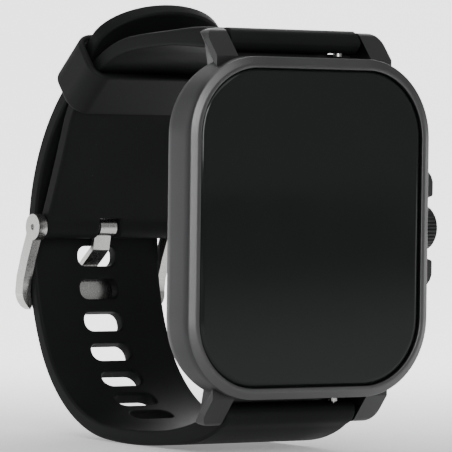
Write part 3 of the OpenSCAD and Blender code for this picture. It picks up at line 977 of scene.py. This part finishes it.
    def lever_room(self, piece: bpy.types.Object, release: str, side: int) -> None:
        """Cuts room for a release lever into the strap's end.

        Args:
            piece: the strap half.
            release: the CAD node of the lever.
            side: -1 if the lever points down, 1 if it points up.
        """
        low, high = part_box(release)
        middle_y, half = (low.y + high.y) / 2, self.lever_half * MM
        bar_z = (high.z if side < 0 else low.z) + side * self.bar_r * MM
        near, far = sorted(bar_z + side * away * MM for away in self.lever_span)
        inward = (self.lever_x - self.lever_reach[0]) * MM
        outward = (self.lever_x + self.lever_reach[1]) * MM
        carved(piece, Vector((inward, middle_y - half, near)), Vector((outward, middle_y + half, far)))

    def build_short(self) -> bpy.types.Object:
        """Short half: from the top spring bar to the buckle's bar, split in two knuckles there.

        Returns:
            The short half.
        """
        length = self.short.length()
        start, end = self.end_gap - self.barrel_r, length + self.barrel_r - self.end_gap
        w, n, slot_s = self.width / 2, self.slot_half, length - self.barrel_r
        outline = [(start, -w), (end, -w), (end, -n), (slot_s, -n),
                   (slot_s, n), (end, n), (end, w), (start, w)]
        shape = plate(outline, [], self.thickness / 2, self.edge)
        sliced(shape, start, end, self.step)
        piece = self.bent("strap_short_half", shape, self.short.at,
                          lambda s: self.half_at(s) if s < length / 2 else self.swelled_end(length - s))
        self.lever_room(piece, "top_bar_release", -1)
        even_normals(piece, STRAP_SMOOTH_DEG)
        y, z, _ = self.short.at(self.blend_from)
        (y - 2.5) * MM
        z * MM
        (y + 2.5) * MM
        z * MM
        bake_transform(piece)
        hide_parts("strap_top_end", "strap_buckle_side")
        return piece

    def swelled_end(self, from_bar: float) -> float:
        """Half thickness near the buckle's bar."""
        return self.swelled(self.thickness / 2, from_bar)

    def build_long(self) -> bpy.types.Object:
        """Long half: from its rounded tip, past the pin holes, to the bottom spring bar.

        Returns:
            The long half.
        """
        w, end = self.width / 2, self.end_s + self.barrel_r - self.end_gap
        tip = self.tip_s + self.tip_depth
        outline = [(end, -w), (end, w)]
        for index in range(self.tip_steps + 1):
            angle = math.radians(90 - 180 * index / self.tip_steps)
            outline.append((tip - self.tip_depth * math.cos(angle), w * math.sin(angle)))
        middles = [self.first_hole + index * self.pitch for index in range(self.holes_below)]
        middles += [self.first_hole - (index + 1) * self.pitch for index in range(self.holes_above)]
        ring = rounded_box(self.hole[0], self.hole[1], self.hole_r, 6)
        holes = [[(middle + x, y) for x, y in ring] for middle in middles]
        shape = plate(outline, holes, self.thickness / 2, self.edge)
        sliced(shape, self.tip_s, end, self.step)
        piece = self.bent("strap_long_half", shape, self.long_at, lambda s: self.half_at(self.end_s - s))
        self.lever_room(piece, "bottom_bar_release", 1)
        even_normals(piece, STRAP_SMOOTH_DEG)
        y, z = joint_place("bottom_flex")
        (y + 2.5) * MM
        z * MM
        (y - 2.5) * MM
        z * MM
        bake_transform(piece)
        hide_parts("strap_hole_side", "strap_bottom_end")
        return piece

    def build_keeper(self) -> bpy.types.Object:
        """Keeper: a soft loop with rounded corners and rims.

        Returns:
            The keeper.
        """
        y, z, heading = self.short.at(self.keeper_s)
        inner_low = -(self.thickness / 2 + self.keeper_low)
        inner_high = 1.5 * self.thickness + self.keeper_high
        half_w = self.width / 2 + self.keeper_side
        outer_r, inner_r = self.keeper_corners
        depth, middle = inner_high - inner_low, (inner_high + inner_low) / 2
        outer = rounded_box(2 * (half_w + self.keeper_t), depth + 2 * self.keeper_t, outer_r, 10)
        inner = rounded_box(2 * half_w, depth, inner_r, 10)
        shape = plate(outer, [inner], self.keeper_l / 2, self.edge)
        angle = math.radians(heading)
        for vert in shape.verts:
            across, lift, along = vert.co
            rise = middle + lift
            vert.co = Vector((across, y + along * math.cos(angle) - rise * math.sin(angle),
                              z + along * math.sin(angle) + rise * math.cos(angle))) * MM
        piece = finished("keeper_loop", shape, self.keeper_finish.material())
        even_normals(piece, STRAP_SMOOTH_DEG)
        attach(piece, "keeper")
        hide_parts("keeper")
        return piece

    def build(self) -> list[bpy.types.Object]:
        """Builds both halves and the keeper, and dresses the spring bars.

        Returns:
            The three soft pieces.
        """
        pieces = [self.build_short(), self.build_long(), self.build_keeper()]
        bars = [f"{end}_bar_{part}" for end in ("top", "bottom") for part in ("tube", "tip", "release")]
        dress_nodes(bars, BlastedMetal("bar steel", (0.62, 0.62, 0.6), 0.22, 0.06, 0.002).material())
        return pieces


def joint_place(name: str) -> Point:
    """A joint's place in the YZ plane, in millimetres."""
    joint = next(found for found in frame["joints"] if found["name"] == name)
    return joint["pos_m"][1] / MM, joint["pos_m"][2] / MM


@dataclass
class Buckle:
    """Pin buckle with its tongue and spring bar."""

    steel: BlastedMetal = BlastedMetal("buckle steel", (0.6, 0.6, 0.585), 0.27, 0.1, 0.003, Grain.ALONG_Z)

    def build(self) -> list[bpy.types.Object]:
        """Builds the frame and tongue with polished round edges, and dresses the bar.

        Returns:
            The frame and the tongue.
        """
        steel = self.steel.material()
        dress_nodes(("buckle_bar_tube", "buckle_bar_tips"), steel)
        return [
            softened("buckle_frame", Edge.BUCKLE, steel, segments=4),
            softened("buckle_tongue", Edge.TONGUE, steel),
        ]


# --- Studio --------------------------------------------------------------------------------


@dataclass(frozen=True)
class SoftBox:
    """One soft studio light, aimed at the watch."""

    name: str
    place: tuple[float, float, float]
    size: tuple[float, float]
    power: float

    def build(self) -> None:
        """Adds the light."""
        data = bpy.data.lights.new(self.name, "AREA")
        data.shape = "RECTANGLE"
        data.size, data.size_y = self.size
        data.energy = self.power
        light = bpy.data.objects.new(self.name, data)
        bpy.context.scene.collection.objects.link(light)
        light.location = self.place
        light.rotation_euler = (-Vector(self.place)).to_track_quat("-Z", "Y").to_euler()


@dataclass
class Studio:
    """Pale sweep, soft lights and the camera."""

    azimuth: float = -34.3
    elevation: float = 1.03
    roll: float = 0.745
    distance: float = 0.56
    across: float = -0.005916
    lens: float = 322.8
    sensor: float = 36.0
    reach: float = 3.0
    curve_y: float = 1.2
    curve_r: float = 1.2
    curve_steps: int = 16
    wall_top: float = 3.4
    away: tuple[float, float] = (0.56, 0.83)
    glow: float = 2.2
    surround: float = 0.34
    lights: tuple[SoftBox, ...] = (
        SoftBox("side box", (-0.75, 0.75, 0.3), (0.6, 0.8), 1.3),
        SoftBox("front box", (-0.42, -0.85, 0.25), (0.35, 0.5), 4.4),
        SoftBox("high box", (-0.1, -0.6, 0.65), (0.7, 0.5), 1.6),
        SoftBox("top box", (0.1, 0.35, 0.95), (0.9, 0.6), 3.0),
    )

    def view_axes(self) -> tuple[Vector, Vector, Vector]:
        """Right, up and back directions of the camera.

        Returns:
            The three unit vectors.
        """
        a, e, r = (math.radians(v) for v in (self.azimuth, self.elevation, self.roll))
        back = Vector((math.sin(a) * math.cos(e), -math.cos(a) * math.cos(e), math.sin(e)))
        right = Vector((math.cos(a), math.sin(a), 0))
        up = back.cross(right)
        return right * math.cos(r) + up * math.sin(r), up * math.cos(r) - right * math.sin(r), back

    def build_camera(self) -> None:
        """Adds the camera and makes it the scene's own."""
        right, up, back = self.view_axes()
        level_right = right * math.cos(math.radians(self.roll)) - up * math.sin(math.radians(self.roll))
        data = bpy.data.cameras.new("camera")
        data.lens = self.lens
        data.sensor_width = self.sensor
        camera = bpy.data.objects.new("camera", data)
        bpy.context.scene.collection.objects.link(camera)
        axes = Matrix((right, up, back)).transposed().to_4x4()
        camera.matrix_world = Matrix.Translation(level_right * self.across + back * self.distance) @ axes
        bpy.context.scene.camera = camera

    def paper(self) -> bpy.types.Material:
        """Pale paper that is greyer in front of the watch and glows a little behind it.

        Returns:
            The finished material.
        """
        paint = Paint("pale paper")
        tooth = paint.noise(1.5, 3.0)
        x, y = (Value(paint, paint.node("ShaderNodeSeparateXYZ", {}, {"Vector": paint.place()}, axis))
                for axis in "XY")
        right, back = self.away
        behind, beside = x * right + y * back, x * back - y * right
        tone = behind.ramp(-0.4, 0.0) * 0.96 + tooth * 0.04
        lit = behind.ramp(-0.05, 0.25) * beside.ramp(-0.9, -0.25)
        paint.set(
            Base_Color=paint.blend(tone, (0.16, 0.16, 0.16), (0.9, 0.9, 0.9)),
            Roughness=0.9,
            Emission_Color=paint.blend(lit, (0.03, 0.03, 0.03), (1.0, 1.0, 1.0)),
            Emission_Strength=self.glow,
            Specular_IOR_Level=0.1,
        )
        return paint.material

    def build_sweep(self) -> None:
        """Adds a floor that curves up into a backdrop behind the watch."""
        floor = min(corner.z for corner in map(Vector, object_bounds()))
        shape = bmesh.new()
        line = [(-self.reach, 0.0), (self.curve_y, 0.0)]
        for step in range(1, self.curve_steps + 1):
            angle = math.radians(90 * step / self.curve_steps)
            rise = self.curve_r * (1 - math.cos(angle))
            line.append((self.curve_y + self.curve_r * math.sin(angle), rise))
        line.append((self.curve_y + self.curve_r, self.wall_top))
        side = self.reach + 1
        rows = [[shape.verts.new((x, y, floor + z)) for x in (-side, side)] for y, z in line]
        for low, high in zip(rows, rows[1:]):
            shape.faces.new((low[0], low[1], high[1], high[0])).smooth = True
        mesh = bpy.data.meshes.new("sweep")
        shape.to_mesh(mesh)
        shape.free()
        mesh.materials.append(self.paper())
        sweep = bpy.data.objects.new("sweep", mesh)
        bpy.context.scene.collection.objects.link(sweep)
        sweep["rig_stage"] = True

    def build_world(self) -> None:
        """Sets a dim even surround."""
        world = bpy.data.worlds.new("surround")
        world.use_nodes = True
        background = world.node_tree.nodes["Background"]
        background.inputs["Color"].default_value = (1.0, 1.0, 1.0, 1.0)
        background.inputs["Strength"].default_value = self.surround
        bpy.context.scene.world = world

    def build(self) -> None:
        """Builds the whole studio."""
        self.build_camera()
        self.build_sweep()
        self.build_world()
        for light in self.lights:
            light.build()


def main() -> None:
    """Builds every sub-assembly in order."""
    logging.basicConfig(level=logging.INFO, format="%(name)s: %(message)s")
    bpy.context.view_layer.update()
    Studio().build()
    for assembly in (Case(), Crown(), Strap(), Buckle()):
        for piece in assembly.build():
            LOG.info("built %s", piece.name)


if __name__ == "__main__":
    main()
